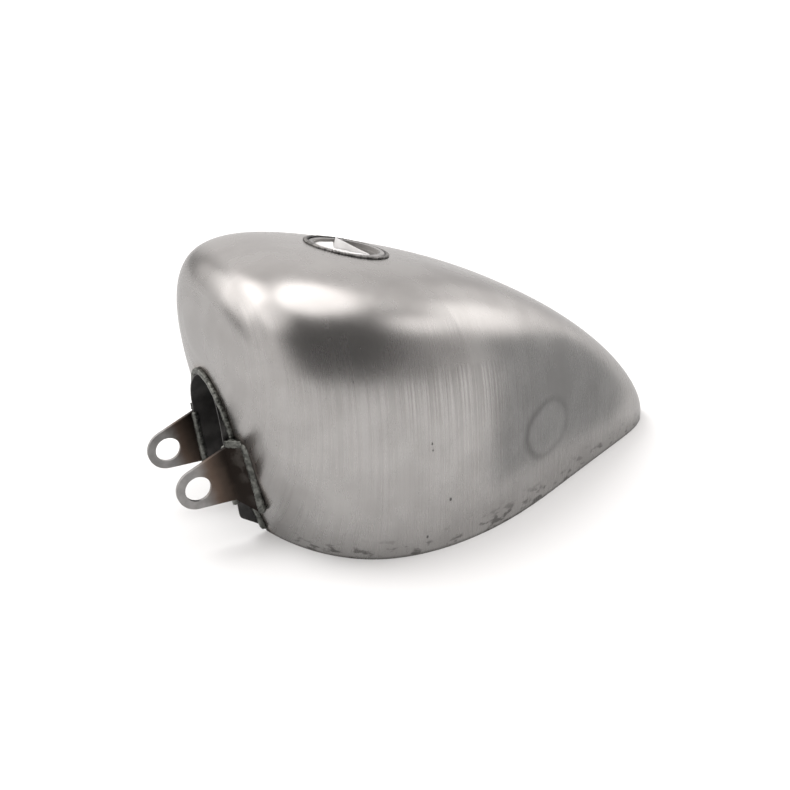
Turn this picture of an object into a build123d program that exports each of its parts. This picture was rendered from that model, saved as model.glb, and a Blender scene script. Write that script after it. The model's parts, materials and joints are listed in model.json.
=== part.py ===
from build123d import *
import math
import os

import numpy as np

# A bare steel fuel tank for a small motorcycle: two pressed side shells joined along the crown, a
# backbone tunnel with two bottom pans, two front mounting ears, a rear mounting bar, a filler
# neck, a fuel tap bung and the weld beads that join them. A loose paper dust seal lies in the neck.
#
# Millimetres. +X is forward, +Y is the rider's left, +Z is up. The origin is on the axis of the
# front mounting holes, half way between the two ears.

# ---- Skin -----------------------------------------------------------------------------------
SHEET = 1.5                     # thickness of the pressed steel
BASE_Z = -49.8                  # height of the tank's lower edge
SKIN_REACH = 40.0               # a cut from this far either side goes through the skin
LIP = 2.0                       # the skin's edge stands this far below the bottom pans
PLAN = [(-45.1, 0), (-99.0, 105.5), (-183.0, 116.0), (-291.5, 81.0), (-379.5, 45.0), (-438.5, 0)]
PLAN_ENDS = [(0, 1), (-0.3, -1)]
RIDGE = [(-45.1, 0), (-28.2, 79.4), (-34.6, 198.3), (-138.7, 196.6),
         (-237.6, 166.2), (-357.3, 97.2), (-430.2, 21.5), (-438.5, 0)]
RIDGE_ENDS = [(0.35, 1), (0, -1)]
SIDE_POWER = (2.66, 3.18, 2.10)     # squareness of the section at nose, middle and tail
CROWN_POWER = (3.23, 4.81, 2.25)
TUCK = 0.01                     # bulge of the flanks between edge and crown
NOSE = 0.045                    # where the skin starts and ends along its two guide curves
TAIL = 0.996
TAIL_STEP = 0.008               # each inner face ends this much before the one outside it
SECTIONS = 21
CROWDING = 0.3                  # how far the sections crowd towards nose and tail
CURVE_SAMPLES = 120             # for each span of a guide curve
ROOT_STEPS = 25
ARCH_POINTS = 17
SKIRT = 12.0                    # the section runs on below the base, to be trimmed there
SLAB = (520.0, 260.0)           # a layer this long and wide covers the tank's plan

# ---- Tunnel -----------------------------------------------------------------------------------
TUNNEL_PLATE = 1.5
# x, outer half width, outer height above the base
TUNNEL = [(10, 33.5, 119), (-70, 33.5, 119), (-180, 33.5, 107), (-290, 31, 72), (-398, 25, 31)]
TUNNEL_DEPTH = 30.0             # the cutting shape runs on below the base
# the tunnel's front edge in side view, x and height above the base
LIP_EDGE = [(-21.9, 121), (-20.7, 93), (-23.8, 62), (-29.6, 20)]
LIP_HEEL = (-49.0, 4)
LIP_TOE = (-30.2, 16.5)
HEEL_STEP = 4.0                 # the edge runs this far back from the heel to the base
TOE_RADIUS = 3.5

# ---- Front ears -----------------------------------------------------------------------------
HOLE_R = 9.525                  # for a 3/4 inch rubber bush
EAR_R = 15.6
EAR_INSIDE = 33.6               # inner face of each ear, from the mid-plane
EAR_PLATE = 2.6
BEND_BOTTOM = (-28.0, -15.9)    # the bend line in side view, x and z
BEND_TOP = (-22.6, 27.4)
BEND_R = 2.4
BEND_RELIEF = 0.5               # the ear's edge steps back this far at the ends of the bend
EAR_STOCK = 80.0                # length of the bent strip that the ear is cut from
FLANGE_ANGLE = 45               # the flange turns out and back by this much
FLANGE_OUTER = 47.6             # outer corners of the flange in front view, y and z
FLANGE_TOP = 29.5
FLANGE_BOTTOM = -23.5
FLANGE_BEAD_PROUD = 0.8
LIP_BEAD_LENGTH = 38.0
LIP_BEAD_PLACE = (0.6, 1.2)     # in front of the bend, and in from the ear's inner face

# ---- Filler ---------------------------------------------------------------------------------
FILLER_X = -137.0
FILLER_Z = 147.0                # where its axis meets the skin
FILLER_TILT = 11.5              # degrees towards the tail
NECK_R = 29.0
NECK_BORE = 24.0
SEAT_BORE = 23.3
CAM_BORE = 20.5
NECK_TOP = 0.6
SEAT_DEPTH = 3.2
CAM_DEPTH = 10.0
CAM_PLATE = 2.0
NECK_DEPTH = 16.0
CAM_NOTCH = 12.0
RIM_CHAMFER = 1.0
SEAL_R = 23.7
PAPER = 0.8
SEAL_DEPTH = 2.5                # underside of the seal below the filler's datum point
FLAP_FOOT = [(9.5, -1.5), (-12.5, 15.0)]     # fold line of the seal's flap, forward and left
FLAP_HEIGHT = 8.0
TEAR_TURN = -13.0               # the tear runs this far back on its way past the seal's edge
FILLER_BEAD_PROUD = 1.2

# ---- Fittings underneath ----------------------------------------------------------------------
BUNG_X, BUNG_Y = -318.0, 48.0
BUNG_R = 12.7
BUNG_BORE = 7.3                 # tapping size of a 3/8 inch taper pipe thread
BUNG_CLEAR = 0.6                # the bung stops this far above the base
BUNG_HEIGHT = 15.0
BUNG_CHAMFER = 1.0
BAR_X = -372.0
BAR_LENGTH = 30.0
BAR_PLATE = 3.0
BAR_FLANGE = 14.0
BAR_INSIDE = 21.5               # inner face of the bar's upturned flanges, from the mid-plane
BAR_HOLE = 5.2
BAR_HEIGHT = 4.0                # underside above the base

# ---- Weld beads -------------------------------------------------------------------------------
SEAM = 1.6                      # width of the ground seam along the crown
BEAD = 2.6
SMALL_BEAD = 1.6
BEAD_WIDTH = 2.2

os.makedirs("parts", exist_ok=True)


# ---- Guide curves and cutting shapes ----------------------------------------------------------
def guide(points, ends):
    """The cubic curve through the points with the two end directions, as positions and
    directions against normalised length."""
    points = np.array(points, float)
    span = np.linalg.norm(np.diff(points, axis=0), axis=1)
    count = len(points)
    system = np.eye(count)
    slopes = np.zeros((count, 2))
    slopes[0] = np.array(ends[0]) / np.linalg.norm(ends[0])
    slopes[-1] = np.array(ends[1]) / np.linalg.norm(ends[1])
    for i in range(1, count - 1):
        before, after = span[i - 1], span[i]
        system[i, i - 1:i + 2] = 1 / before, 2 / before + 2 / after, 1 / after
        slopes[i] = 3 * ((points[i] - points[i - 1]) / before**2 + (points[i + 1] - points[i]) / after**2)
    slopes = np.linalg.solve(system, slopes)
    curve = []
    for i in range(count - 1):
        t = np.linspace(0, 1, CURVE_SAMPLES, endpoint=i == count - 2)[:, None]
        curve.append((2 * t**3 - 3 * t**2 + 1) * points[i] + (3 * t**2 - 2 * t**3) * points[i + 1]
                     + span[i] * ((t**3 - 2 * t**2 + t) * slopes[i] + (t**3 - t**2) * slopes[i + 1]))
    curve = np.vstack(curve)
    length = np.r_[0, np.cumsum(np.linalg.norm(np.diff(curve, axis=0), axis=1))]
    direction = np.gradient(curve, length, axis=0)
    direction /= np.linalg.norm(direction, axis=1)[:, None]
    return length / length[-1], curve, direction


PLAN_GUIDE = guide(PLAN, PLAN_ENDS)
RIDGE_GUIDE = guide(RIDGE, RIDGE_ENDS)


def along(curve, u, inset):
    """A point at u on a guide curve moved towards the inside of the tank."""
    place = [np.interp(u, curve[0], curve[1][:, i]) for i in (0, 1)]
    heading = [np.interp(u, curve[0], curve[2][:, i]) for i in (0, 1)]
    return place[0] - heading[1] * inset, place[1] + heading[0] * inset


def blend(values, u):
    return float(np.interp(u, (0, 0.5, 1), values))


def arch_point(angle, side, crown):
    """The point at an angle on the unit arch |y|^side + |z|^crown = 1."""
    y, z = abs(math.cos(angle)), abs(math.sin(angle))
    reach = 1.0
    for step in range(ROOT_STEPS):
        error = (reach * y) ** side + (reach * z) ** crown - 1
        slope = (side * (reach * y) ** side + crown * (reach * z) ** crown) / reach
        reach -= error / slope
    return reach * math.cos(angle), reach * math.sin(angle)


def body_volume(inset, nose=NOSE, tail=TAIL):
    """The space inside the skin's outer face, or inside that face moved in by inset."""
    with BuildPart() as volume:
        for i in range(SECTIONS):
            t = i / (SECTIONS - 1)
            t = CROWDING * (1 - math.cos(math.pi * t)) + (1 - 2 * CROWDING) * t
            u = nose + (tail - nose) * t
            base_x, half_width = along(PLAN_GUIDE, u, inset)
            top_x, height = along(RIDGE_GUIDE, u, inset)
            rise = math.hypot(top_x - base_x, height)
            arch = []
            for j in range(ARCH_POINTS):
                angle = math.pi * j / (ARCH_POINTS - 1)
                y, z = arch_point(angle, blend(SIDE_POWER, u), blend(CROWN_POWER, u))
                arch.append((half_width * y * (1 + TUCK * 4 * z * (1 - z)), rise * z))
            place = Plane(origin=(base_x, 0, BASE_Z), x_dir=(0, 1, 0),
                          z_dir=(height, 0, base_x - top_x))
            with BuildSketch(place):
                with BuildLine():
                    Spline(*arch, tangents=[(0, 1), (0, -1)])
                    Polyline(arch[-1], (-half_width, -SKIRT), (half_width, -SKIRT), arch[0])
                make_face()
        loft()
    return volume.part


def tunnel_volume(inset):
    """The tunnel's outer shape as a solid, or that shape moved in by inset."""
    with BuildPart() as volume:
        for x, half_width, height in TUNNEL:
            radius = half_width - inset
            shoulder = height - half_width
            end = -inset if x == TUNNEL[-1][0] else 0
            with BuildSketch(Plane(origin=(x - end, 0, BASE_Z), x_dir=(0, 1, 0), z_dir=(1, 0, 0))):
                with BuildLine():
                    Polyline((-radius, shoulder), (-radius, -TUNNEL_DEPTH), (radius, -TUNNEL_DEPTH),
                             (radius, shoulder))
                    RadiusArc((radius, shoulder), (-radius, shoulder), -radius)
                make_face()
        loft(ruled=True)
    return volume.part


def slab(low, high):
    """All of the tank's plan between two heights above the base."""
    with BuildPart() as layer:
        with BuildSketch(Plane.XY.offset(BASE_Z + low)):
            with Locations(((PLAN[0][0] + PLAN[-1][0]) / 2, 0)):
                Rectangle(*SLAB)
        extrude(amount=high - low)
    return layer.part


OUTER = body_volume(0)
INNER = body_volume(SHEET, tail=TAIL - TAIL_STEP)
TUNNEL_OUTSIDE = tunnel_volume(0)
TUNNEL_INSIDE = tunnel_volume(TUNNEL_PLATE)
WELD_OUTSIDE = body_volume(-BEAD)
FILLER = Plane(origin=(FILLER_X, 0, FILLER_Z),
               z_dir=(-math.sin(math.radians(FILLER_TILT)), 0, math.cos(math.radians(FILLER_TILT))),
               x_dir=(math.cos(math.radians(FILLER_TILT)), 0, math.sin(math.radians(FILLER_TILT))))

# ---- Skin: both shells and the seam between them ------------------------------------------------
with BuildPart() as skin:
    add(OUTER)
    add(INNER, mode=Mode.SUBTRACT)
    split(bisect_by=Plane.XY.offset(BASE_Z), keep=Keep.TOP)
    add(TUNNEL_OUTSIDE, mode=Mode.SUBTRACT)
    with BuildSketch(FILLER.offset(-SKIN_REACH)):
        Circle(NECK_R)
    extrude(amount=2 * SKIN_REACH, mode=Mode.SUBTRACT)

with BuildPart() as left_shell:
    add(skin.part)
    split(bisect_by=Plane.XZ.offset(-SEAM / 2), keep=Keep.BOTTOM)

with BuildPart() as shell_seam_weld:
    add(skin.part)
    split(bisect_by=Plane.XZ.offset(-SEAM / 2), keep=Keep.TOP)
    split(bisect_by=Plane.XZ.offset(SEAM / 2), keep=Keep.BOTTOM)

# ---- Tunnel over the frame's backbone -----------------------------------------------------------
TUNNEL_SIDE = Plane(origin=(0, 0, BASE_Z), x_dir=(1, 0, 0), z_dir=(0, -1, 0))
with BuildPart() as tunnel:
    add(TUNNEL_OUTSIDE)
    add(TUNNEL_INSIDE, mode=Mode.SUBTRACT)
    with BuildSketch(TUNNEL_SIDE):
        with BuildLine():
            Spline(*LIP_EDGE)
            FilletPolyline(LIP_EDGE[-1], LIP_TOE, LIP_HEEL, radius=TOE_RADIUS)
            Polyline(LIP_HEEL, (LIP_HEEL[0] - HEEL_STEP, LIP - SMALL_BEAD), (PLAN[-1][0], LIP - SMALL_BEAD),
                     (PLAN[-1][0], LIP_EDGE[0][1]), LIP_EDGE[0])
        make_face()
    extrude(amount=2 * EAR_INSIDE, both=True, mode=Mode.INTERSECT)

# ---- Bottom pans --------------------------------------------------------------------------------
with BuildPart() as pan_blank:
    add(slab(LIP, LIP + SHEET))
    add(INNER, mode=Mode.INTERSECT)
    add(TUNNEL_OUTSIDE, mode=Mode.SUBTRACT)
    split(bisect_by=Plane.XZ, keep=Keep.BOTTOM)

with BuildPart() as left_bottom_pan:
    add(pan_blank.part)
    with Locations((BUNG_X, BUNG_Y, BASE_Z)):
        Cylinder(BUNG_R, 2 * BUNG_HEIGHT, mode=Mode.SUBTRACT)

BEAD_LAYER = slab(LIP - SMALL_BEAD, LIP)
INSIDE_BEAD = body_volume(SHEET + BEAD_WIDTH, tail=TAIL - 2 * TAIL_STEP)
TUNNEL_BEAD = tunnel_volume(-BEAD_WIDTH)
with BuildPart() as left_bottom_weld:
    add(BEAD_LAYER)
    add(INNER, mode=Mode.INTERSECT)
    add(INSIDE_BEAD, mode=Mode.SUBTRACT)
    add(TUNNEL_OUTSIDE, mode=Mode.SUBTRACT)
    split(bisect_by=Plane.XZ, keep=Keep.BOTTOM)

with BuildPart() as left_tunnel_weld:
    add(BEAD_LAYER)
    add(TUNNEL_BEAD, mode=Mode.INTERSECT)
    add(INSIDE_BEAD, mode=Mode.INTERSECT)
    add(TUNNEL_OUTSIDE, mode=Mode.SUBTRACT)
    split(bisect_by=Plane.XZ, keep=Keep.BOTTOM)

with BuildPart() as pan_seam_weld:
    add(BEAD_LAYER)
    add(INSIDE_BEAD, mode=Mode.INTERSECT)
    add(TUNNEL_BEAD, mode=Mode.SUBTRACT)
    split(bisect_by=Plane.XZ.offset(-BEAD_WIDTH), keep=Keep.TOP)
    split(bisect_by=Plane.XZ.offset(BEAD_WIDTH), keep=Keep.BOTTOM)
    split(bisect_by=Plane.YZ.offset(TUNNEL[-1][0] - BEAD_WIDTH), keep=Keep.BOTTOM)

with BuildPart() as tunnel_front_weld:
    add(tunnel_volume(-BEAD))
    add(TUNNEL_OUTSIDE, mode=Mode.SUBTRACT)
    add(WELD_OUTSIDE, mode=Mode.INTERSECT)
    add(OUTER, mode=Mode.SUBTRACT)
    split(bisect_by=Plane.XY.offset(BASE_Z + LIP_HEEL[1]), keep=Keep.TOP)
    split(bisect_by=Plane.XZ, keep=Keep.BOTTOM)
    mirror(about=Plane.XZ)

# ---- Front ears -----------------------------------------------------------------------------------
RAKE = math.atan2(BEND_TOP[0] - BEND_BOTTOM[0], BEND_TOP[1] - BEND_BOTTOM[1])
BEND = Plane(origin=((BEND_TOP[0] + BEND_BOTTOM[0]) / 2, 0, (BEND_TOP[1] + BEND_BOTTOM[1]) / 2),
             x_dir=(math.cos(RAKE), 0, -math.sin(RAKE)), z_dir=(math.sin(RAKE), 0, math.cos(RAKE)))
FLANGE = math.radians(FLANGE_ANGLE)
EAR_OUTSIDE = EAR_INSIDE + EAR_PLATE


def tangent_point(corner, side):
    """Where a line from the corner touches the ear's rounded end."""
    distance = math.hypot(*corner)
    angle = math.atan2(corner[1], corner[0]) - side * math.acos(EAR_R / distance)
    return EAR_R * math.cos(angle), EAR_R * math.sin(angle)


with BuildPart() as left_front_ear:
    with BuildSketch(BEND):
        with BuildLine():
            FilletPolyline((EAR_STOCK, EAR_INSIDE), (0, EAR_INSIDE),
                           (-EAR_STOCK * math.cos(FLANGE), EAR_INSIDE + EAR_STOCK * math.sin(FLANGE)),
                           radius=BEND_R)
            offset(amount=EAR_PLATE, side=Side.RIGHT)
        make_face()
    extrude(amount=EAR_STOCK, both=True)
    with BuildSketch(Plane.XZ):
        with BuildLine():
            top, bottom = tangent_point(BEND_TOP, 1), tangent_point(BEND_BOTTOM, -1)
            Polyline(BEND_TOP, (BEND_TOP[0] - BEND_RELIEF, EAR_STOCK), (-EAR_STOCK, EAR_STOCK),
                     (-EAR_STOCK, -EAR_STOCK), (BEND_BOTTOM[0] - BEND_RELIEF, -EAR_STOCK), BEND_BOTTOM,
                     bottom)
            ThreePointArc(bottom, (EAR_R, 0), top)
            Line(top, BEND_TOP)
        make_face()
    extrude(amount=2 * EAR_STOCK, both=True, mode=Mode.INTERSECT)
    with BuildSketch(Plane.YZ):
        with BuildLine():
            Polyline((0, BEND_BOTTOM[1]), (EAR_OUTSIDE, BEND_BOTTOM[1]), (FLANGE_OUTER, FLANGE_BOTTOM),
                     (FLANGE_OUTER, FLANGE_TOP), (EAR_OUTSIDE, BEND_TOP[1]), (0, BEND_TOP[1]), close=True)
        make_face()
    extrude(amount=2 * EAR_STOCK, both=True, mode=Mode.INTERSECT)
    add(OUTER, mode=Mode.SUBTRACT)
    with Locations(Plane(origin=(0, EAR_INSIDE, 0), z_dir=(0, -1, 0))):
        Cylinder(HOLE_R, 4 * EAR_PLATE, mode=Mode.SUBTRACT)

# The bead fills the space behind the flange's top and outer edges, down to the skin.
with BuildPart() as left_ear_flange_weld:
    with BuildSketch(BEND):
        with BuildLine():
            front = FLANGE_BEAD_PROUD / math.sin(FLANGE)
            outside = EAR_OUTSIDE + EAR_STOCK * math.tan(FLANGE)
            Polyline((front, EAR_OUTSIDE), (front - EAR_STOCK, outside), (-EAR_STOCK, outside),
                     (-EAR_STOCK, EAR_OUTSIDE), close=True)
        make_face()
    extrude(amount=EAR_STOCK, both=True)
    with BuildSketch(Plane.YZ):
        with BuildLine():
            bead_side, bead_top = FLANGE_OUTER + BEAD, FLANGE_TOP + BEAD
            Polyline((EAR_OUTSIDE, BEND_TOP[1]), (FLANGE_OUTER, FLANGE_TOP), (FLANGE_OUTER, FLANGE_BOTTOM),
                     (bead_side, FLANGE_BOTTOM + BEAD), (bead_side, bead_top), (FLANGE_OUTER, bead_top + BEAD),
                     (EAR_OUTSIDE, BEND_TOP[1] + 2 * BEAD), close=True)
        make_face()
    extrude(amount=2 * EAR_STOCK, both=True, mode=Mode.INTERSECT)
    add(OUTER, mode=Mode.SUBTRACT)
    add(left_front_ear.part, mode=Mode.SUBTRACT)
    add(tunnel_front_weld.part, mode=Mode.SUBTRACT)

# A second bead runs down the inside corner between the tunnel's lip and the ear.
with BuildPart() as left_ear_lip_weld:
    with BuildSketch(BEND.offset(BEND_BOTTOM[1] / 2)):
        with Locations((LIP_BEAD_PLACE[0], EAR_INSIDE - LIP_BEAD_PLACE[1])):
            Circle(BEAD_WIDTH)
    extrude(amount=LIP_BEAD_LENGTH / 2, both=True)
    add(tunnel.part, mode=Mode.SUBTRACT)
    add(left_front_ear.part, mode=Mode.SUBTRACT)

# ---- Filler neck, its weld and the loose dust seal --------------------------------------------------
FILLER_SECTION = Plane(origin=FILLER.origin, x_dir=FILLER.x_dir, z_dir=-FILLER.y_dir)
FILLER_AXIS = Axis(FILLER.origin, FILLER.z_dir)
with BuildPart() as filler_neck:
    with BuildSketch(FILLER_SECTION):
        with BuildLine():
            cam_under = -CAM_DEPTH - CAM_PLATE
            seat = NECK_TOP - SEAT_DEPTH
            Polyline((NECK_BORE, NECK_TOP), (NECK_R - RIM_CHAMFER, NECK_TOP), (NECK_R, NECK_TOP - RIM_CHAMFER),
                     (NECK_R, -NECK_DEPTH), (SEAT_BORE, -NECK_DEPTH), (SEAT_BORE, cam_under),
                     (CAM_BORE, cam_under), (CAM_BORE, -CAM_DEPTH), (SEAT_BORE, -CAM_DEPTH),
                     (SEAT_BORE, seat), (NECK_BORE, seat), close=True)
        make_face()
    revolve(axis=FILLER_AXIS)
    with BuildSketch(FILLER.offset(-CAM_DEPTH - CAM_PLATE)):
        Rectangle(CAM_NOTCH, 2 * SEAT_BORE - RIM_CHAMFER)
    extrude(amount=CAM_PLATE, mode=Mode.SUBTRACT)

with BuildPart() as filler_weld:
    add(body_volume(-FILLER_BEAD_PROUD))
    add(OUTER, mode=Mode.SUBTRACT)
    with BuildSketch(FILLER.offset(-SKIN_REACH / 2)):
        Circle(NECK_R + BEAD)
        Circle(NECK_R, mode=Mode.SUBTRACT)
    extrude(amount=SKIN_REACH, mode=Mode.INTERSECT)

with BuildPart() as dust_seal:
    with BuildSketch(FILLER.offset(-SEAL_DEPTH)):
        Circle(SEAL_R)
        with BuildLine():
            Polyline(FLAP_FOOT[0], (FLAP_FOOT[0][0] + TEAR_TURN, -NECK_R), (-NECK_R, -NECK_R),
                     (-NECK_R, FLAP_FOOT[1][1]), FLAP_FOOT[1], close=True)
        make_face(mode=Mode.SUBTRACT)
    extrude(amount=PAPER)
    fold = Vector(FLAP_FOOT[1]) - Vector(FLAP_FOOT[0])
    foot = FILLER.from_local_coords(Vector(*FLAP_FOOT[0], -SEAL_DEPTH))
    fold_direction = (FILLER.from_local_coords(Vector(*FLAP_FOOT[1], -SEAL_DEPTH)) - foot).normalized()
    with BuildSketch(Plane(origin=foot, x_dir=fold_direction, z_dir=fold_direction.cross(FILLER.z_dir))):
        with BuildLine():
            Polyline((0, 0), (fold.length, 0), (0, FLAP_HEIGHT), close=True)
        make_face()
    extrude(amount=PAPER)

# ---- Fuel tap bung under the left lobe ----------------------------------------------------------------
with BuildPart(Plane.XY.offset(BASE_Z + BUNG_CLEAR)) as tap_bung:
    with Locations((BUNG_X, BUNG_Y, 0)):
        Cylinder(BUNG_R, BUNG_HEIGHT, align=(Align.CENTER, Align.CENTER, Align.MIN))
    chamfer(tap_bung.edges().filter_by(GeomType.CIRCLE).group_by(Axis.Z)[-1], length=BUNG_CHAMFER)
    with Locations((BUNG_X, BUNG_Y, 0)):
        Cylinder(BUNG_BORE, BUNG_HEIGHT, align=(Align.CENTER, Align.CENTER, Align.MIN), mode=Mode.SUBTRACT)

with BuildPart(Plane.XY.offset(BASE_Z + BUNG_CLEAR)) as tap_bung_weld:
    with Locations((BUNG_X, BUNG_Y, 0)):
        Cylinder(BUNG_R + BEAD_WIDTH, LIP - BUNG_CLEAR, align=(Align.CENTER, Align.CENTER, Align.MIN))
        Cylinder(BUNG_R, LIP - BUNG_CLEAR, align=(Align.CENTER, Align.CENTER, Align.MIN), mode=Mode.SUBTRACT)

# ---- Rear mounting bar across the tunnel ----------------------------------------------------------------
with BuildPart() as rear_mount_bar:
    with BuildSketch(Plane.XY.offset(BASE_Z + BAR_HEIGHT)):
        with Locations((BAR_X, 0)):
            Rectangle(BAR_LENGTH, 4 * BAR_INSIDE)
    extrude(amount=BAR_FLANGE)
    add(TUNNEL_INSIDE, mode=Mode.INTERSECT)
    with BuildSketch(Plane.XY.offset(BASE_Z + BAR_HEIGHT + BAR_PLATE)):
        with Locations((BAR_X, 0)):
            Rectangle(2 * BAR_LENGTH, 2 * BAR_INSIDE)
    extrude(amount=BAR_FLANGE, mode=Mode.SUBTRACT)
    with Locations((BAR_X, 0, BASE_Z + BAR_HEIGHT)):
        Cylinder(BAR_HOLE, 4 * BAR_PLATE, mode=Mode.SUBTRACT)

with BuildPart() as rear_bar_weld:
    with BuildSketch(Plane.XY.offset(BASE_Z + BAR_HEIGHT - SMALL_BEAD)):
        with Locations((BAR_X, 0)):
            Rectangle(BAR_LENGTH - BEAD_WIDTH, 4 * BAR_INSIDE)
    extrude(amount=SMALL_BEAD)
    add(TUNNEL_INSIDE, mode=Mode.INTERSECT)
    add(tunnel_volume(TUNNEL_PLATE + BEAD_WIDTH), mode=Mode.SUBTRACT)

# ---- Right-hand pieces, mirrored -----------------------------------------------------------------------
with BuildPart() as right_shell:
    mirror(left_shell.part, about=Plane.XZ)
with BuildPart() as right_bottom_pan:
    mirror(pan_blank.part, about=Plane.XZ)
with BuildPart() as right_bottom_weld:
    mirror(left_bottom_weld.part, about=Plane.XZ)
with BuildPart() as right_tunnel_weld:
    mirror(left_tunnel_weld.part, about=Plane.XZ)
with BuildPart() as right_front_ear:
    mirror(left_front_ear.part, about=Plane.XZ)
with BuildPart() as right_ear_flange_weld:
    mirror(left_ear_flange_weld.part, about=Plane.XZ)
with BuildPart() as right_ear_lip_weld:
    mirror(left_ear_lip_weld.part, about=Plane.XZ)

pieces = {
    "left_shell": left_shell, "right_shell": right_shell, "shell_seam_weld": shell_seam_weld,
    "tunnel": tunnel, "tunnel_front_weld": tunnel_front_weld,
    "left_bottom_pan": left_bottom_pan, "right_bottom_pan": right_bottom_pan,
    "left_bottom_weld": left_bottom_weld, "right_bottom_weld": right_bottom_weld,
    "left_tunnel_weld": left_tunnel_weld, "right_tunnel_weld": right_tunnel_weld,
    "pan_seam_weld": pan_seam_weld,
    "left_front_ear": left_front_ear, "right_front_ear": right_front_ear,
    "left_ear_flange_weld": left_ear_flange_weld, "right_ear_flange_weld": right_ear_flange_weld,
    "left_ear_lip_weld": left_ear_lip_weld, "right_ear_lip_weld": right_ear_lip_weld,
    "filler_neck": filler_neck, "filler_weld": filler_weld, "dust_seal": dust_seal,
    "tap_bung": tap_bung, "tap_bung_weld": tap_bung_weld,
    "rear_mount_bar": rear_mount_bar, "rear_bar_weld": rear_bar_weld,
}
for name, piece in pieces.items():
    piece.part.label = name
    export_step(piece.part, f"parts/{name}.step")
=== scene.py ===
import json
import math

import bmesh
import bpy
import numpy as np
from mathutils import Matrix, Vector, noise
from mathutils.geometry import delaunay_2d_cdt


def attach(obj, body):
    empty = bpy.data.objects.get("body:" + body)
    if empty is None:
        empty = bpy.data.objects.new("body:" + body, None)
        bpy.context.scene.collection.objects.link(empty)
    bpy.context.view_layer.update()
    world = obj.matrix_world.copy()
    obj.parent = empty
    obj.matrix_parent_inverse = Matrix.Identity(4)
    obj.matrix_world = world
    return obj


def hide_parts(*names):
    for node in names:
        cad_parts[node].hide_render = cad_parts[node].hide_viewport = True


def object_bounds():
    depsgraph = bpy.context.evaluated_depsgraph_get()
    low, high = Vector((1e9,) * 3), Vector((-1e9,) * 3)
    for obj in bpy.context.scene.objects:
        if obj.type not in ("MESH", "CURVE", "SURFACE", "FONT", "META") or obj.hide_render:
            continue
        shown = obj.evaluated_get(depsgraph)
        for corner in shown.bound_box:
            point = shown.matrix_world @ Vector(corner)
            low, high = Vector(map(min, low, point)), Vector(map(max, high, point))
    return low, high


# A bare steel motorcycle fuel tank. The CAD frame gives the tunnel, pans, ears, neck and fittings;
# this script adds the smooth pressed skin, the weld beads, the paper seal and every finish.
# Lengths in the shape's own formulas are millimetres, as in the CAD; meshes are metres.

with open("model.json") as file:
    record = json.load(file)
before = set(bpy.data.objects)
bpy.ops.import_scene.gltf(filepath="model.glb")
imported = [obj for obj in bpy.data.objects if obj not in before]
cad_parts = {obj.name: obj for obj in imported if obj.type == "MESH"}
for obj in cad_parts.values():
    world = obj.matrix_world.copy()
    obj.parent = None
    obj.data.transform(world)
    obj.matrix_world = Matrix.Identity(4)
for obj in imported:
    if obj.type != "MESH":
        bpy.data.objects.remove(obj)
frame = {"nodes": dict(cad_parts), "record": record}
cad_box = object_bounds()

MM = 0.001

# ---- The skin's shape, as in the CAD ------------------------------------------------------------
SHEET = 1.5
BASE_Z = -49.8
PLAN = [(-45.1, 0), (-99.0, 105.5), (-183.0, 116.0), (-291.5, 81.0), (-379.5, 45.0), (-438.5, 0)]
PLAN_ENDS = [(0, 1), (-0.3, -1)]
RIDGE = [(-45.1, 0), (-28.2, 79.4), (-34.6, 198.3), (-138.7, 196.6),
         (-237.6, 166.2), (-357.3, 97.2), (-430.2, 21.5), (-438.5, 0)]
RIDGE_ENDS = [(0.35, 1), (0, -1)]
SIDE_POWER = (2.66, 3.18, 2.10)
CROWN_POWER = (3.23, 4.81, 2.25)
TUCK = 0.01
NOSE = 0.045
TAIL = 0.996
SEAM = 1.6
ROOT_STEPS = 25                 # for the section's superellipse
GUIDE_SAMPLES = 600             # for each span of a guide curve

TUNNEL_HALF = 33.5
TUNNEL_SHOULDER = 85.5          # where the tunnel's round top starts, above the base
TUNNEL_REACH = -100.0           # the tunnel meets the skin only in front of this
FILLER = np.array((-137.0, 0, 147.0))
FILLER_TILT = math.radians(11.5)
FILLER_AXIS = np.array((-math.sin(FILLER_TILT), 0, math.cos(FILLER_TILT)))
FILLER_FORWARD = np.array((math.cos(FILLER_TILT), 0, math.sin(FILLER_TILT)))
FILLER_LEVEL = 100.0            # the neck and its weld are above this height
NECK_R = 29.0
NECK_BORE = 24.0

ROWS = 230                      # skin cells from nose to tail
COLUMNS = 110                   # and from the lower edge to the crown
CROWDING = 0.3                  # how far the rows crowd towards nose and tail
CUT_HALVINGS = 30               # for the skin's cut edges
SEAM_HALVINGS = 40              # for the edge of the crown's seam
FAR = 100.0                     # a gap of this much stands for well clear
MERGE = 0.15                    # skin corners closer than this are one
SLIVER = 0.02                   # and edges shorter than this are taken out
LEVEL = 0.01                    # corners this close to the base stand on it


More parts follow.
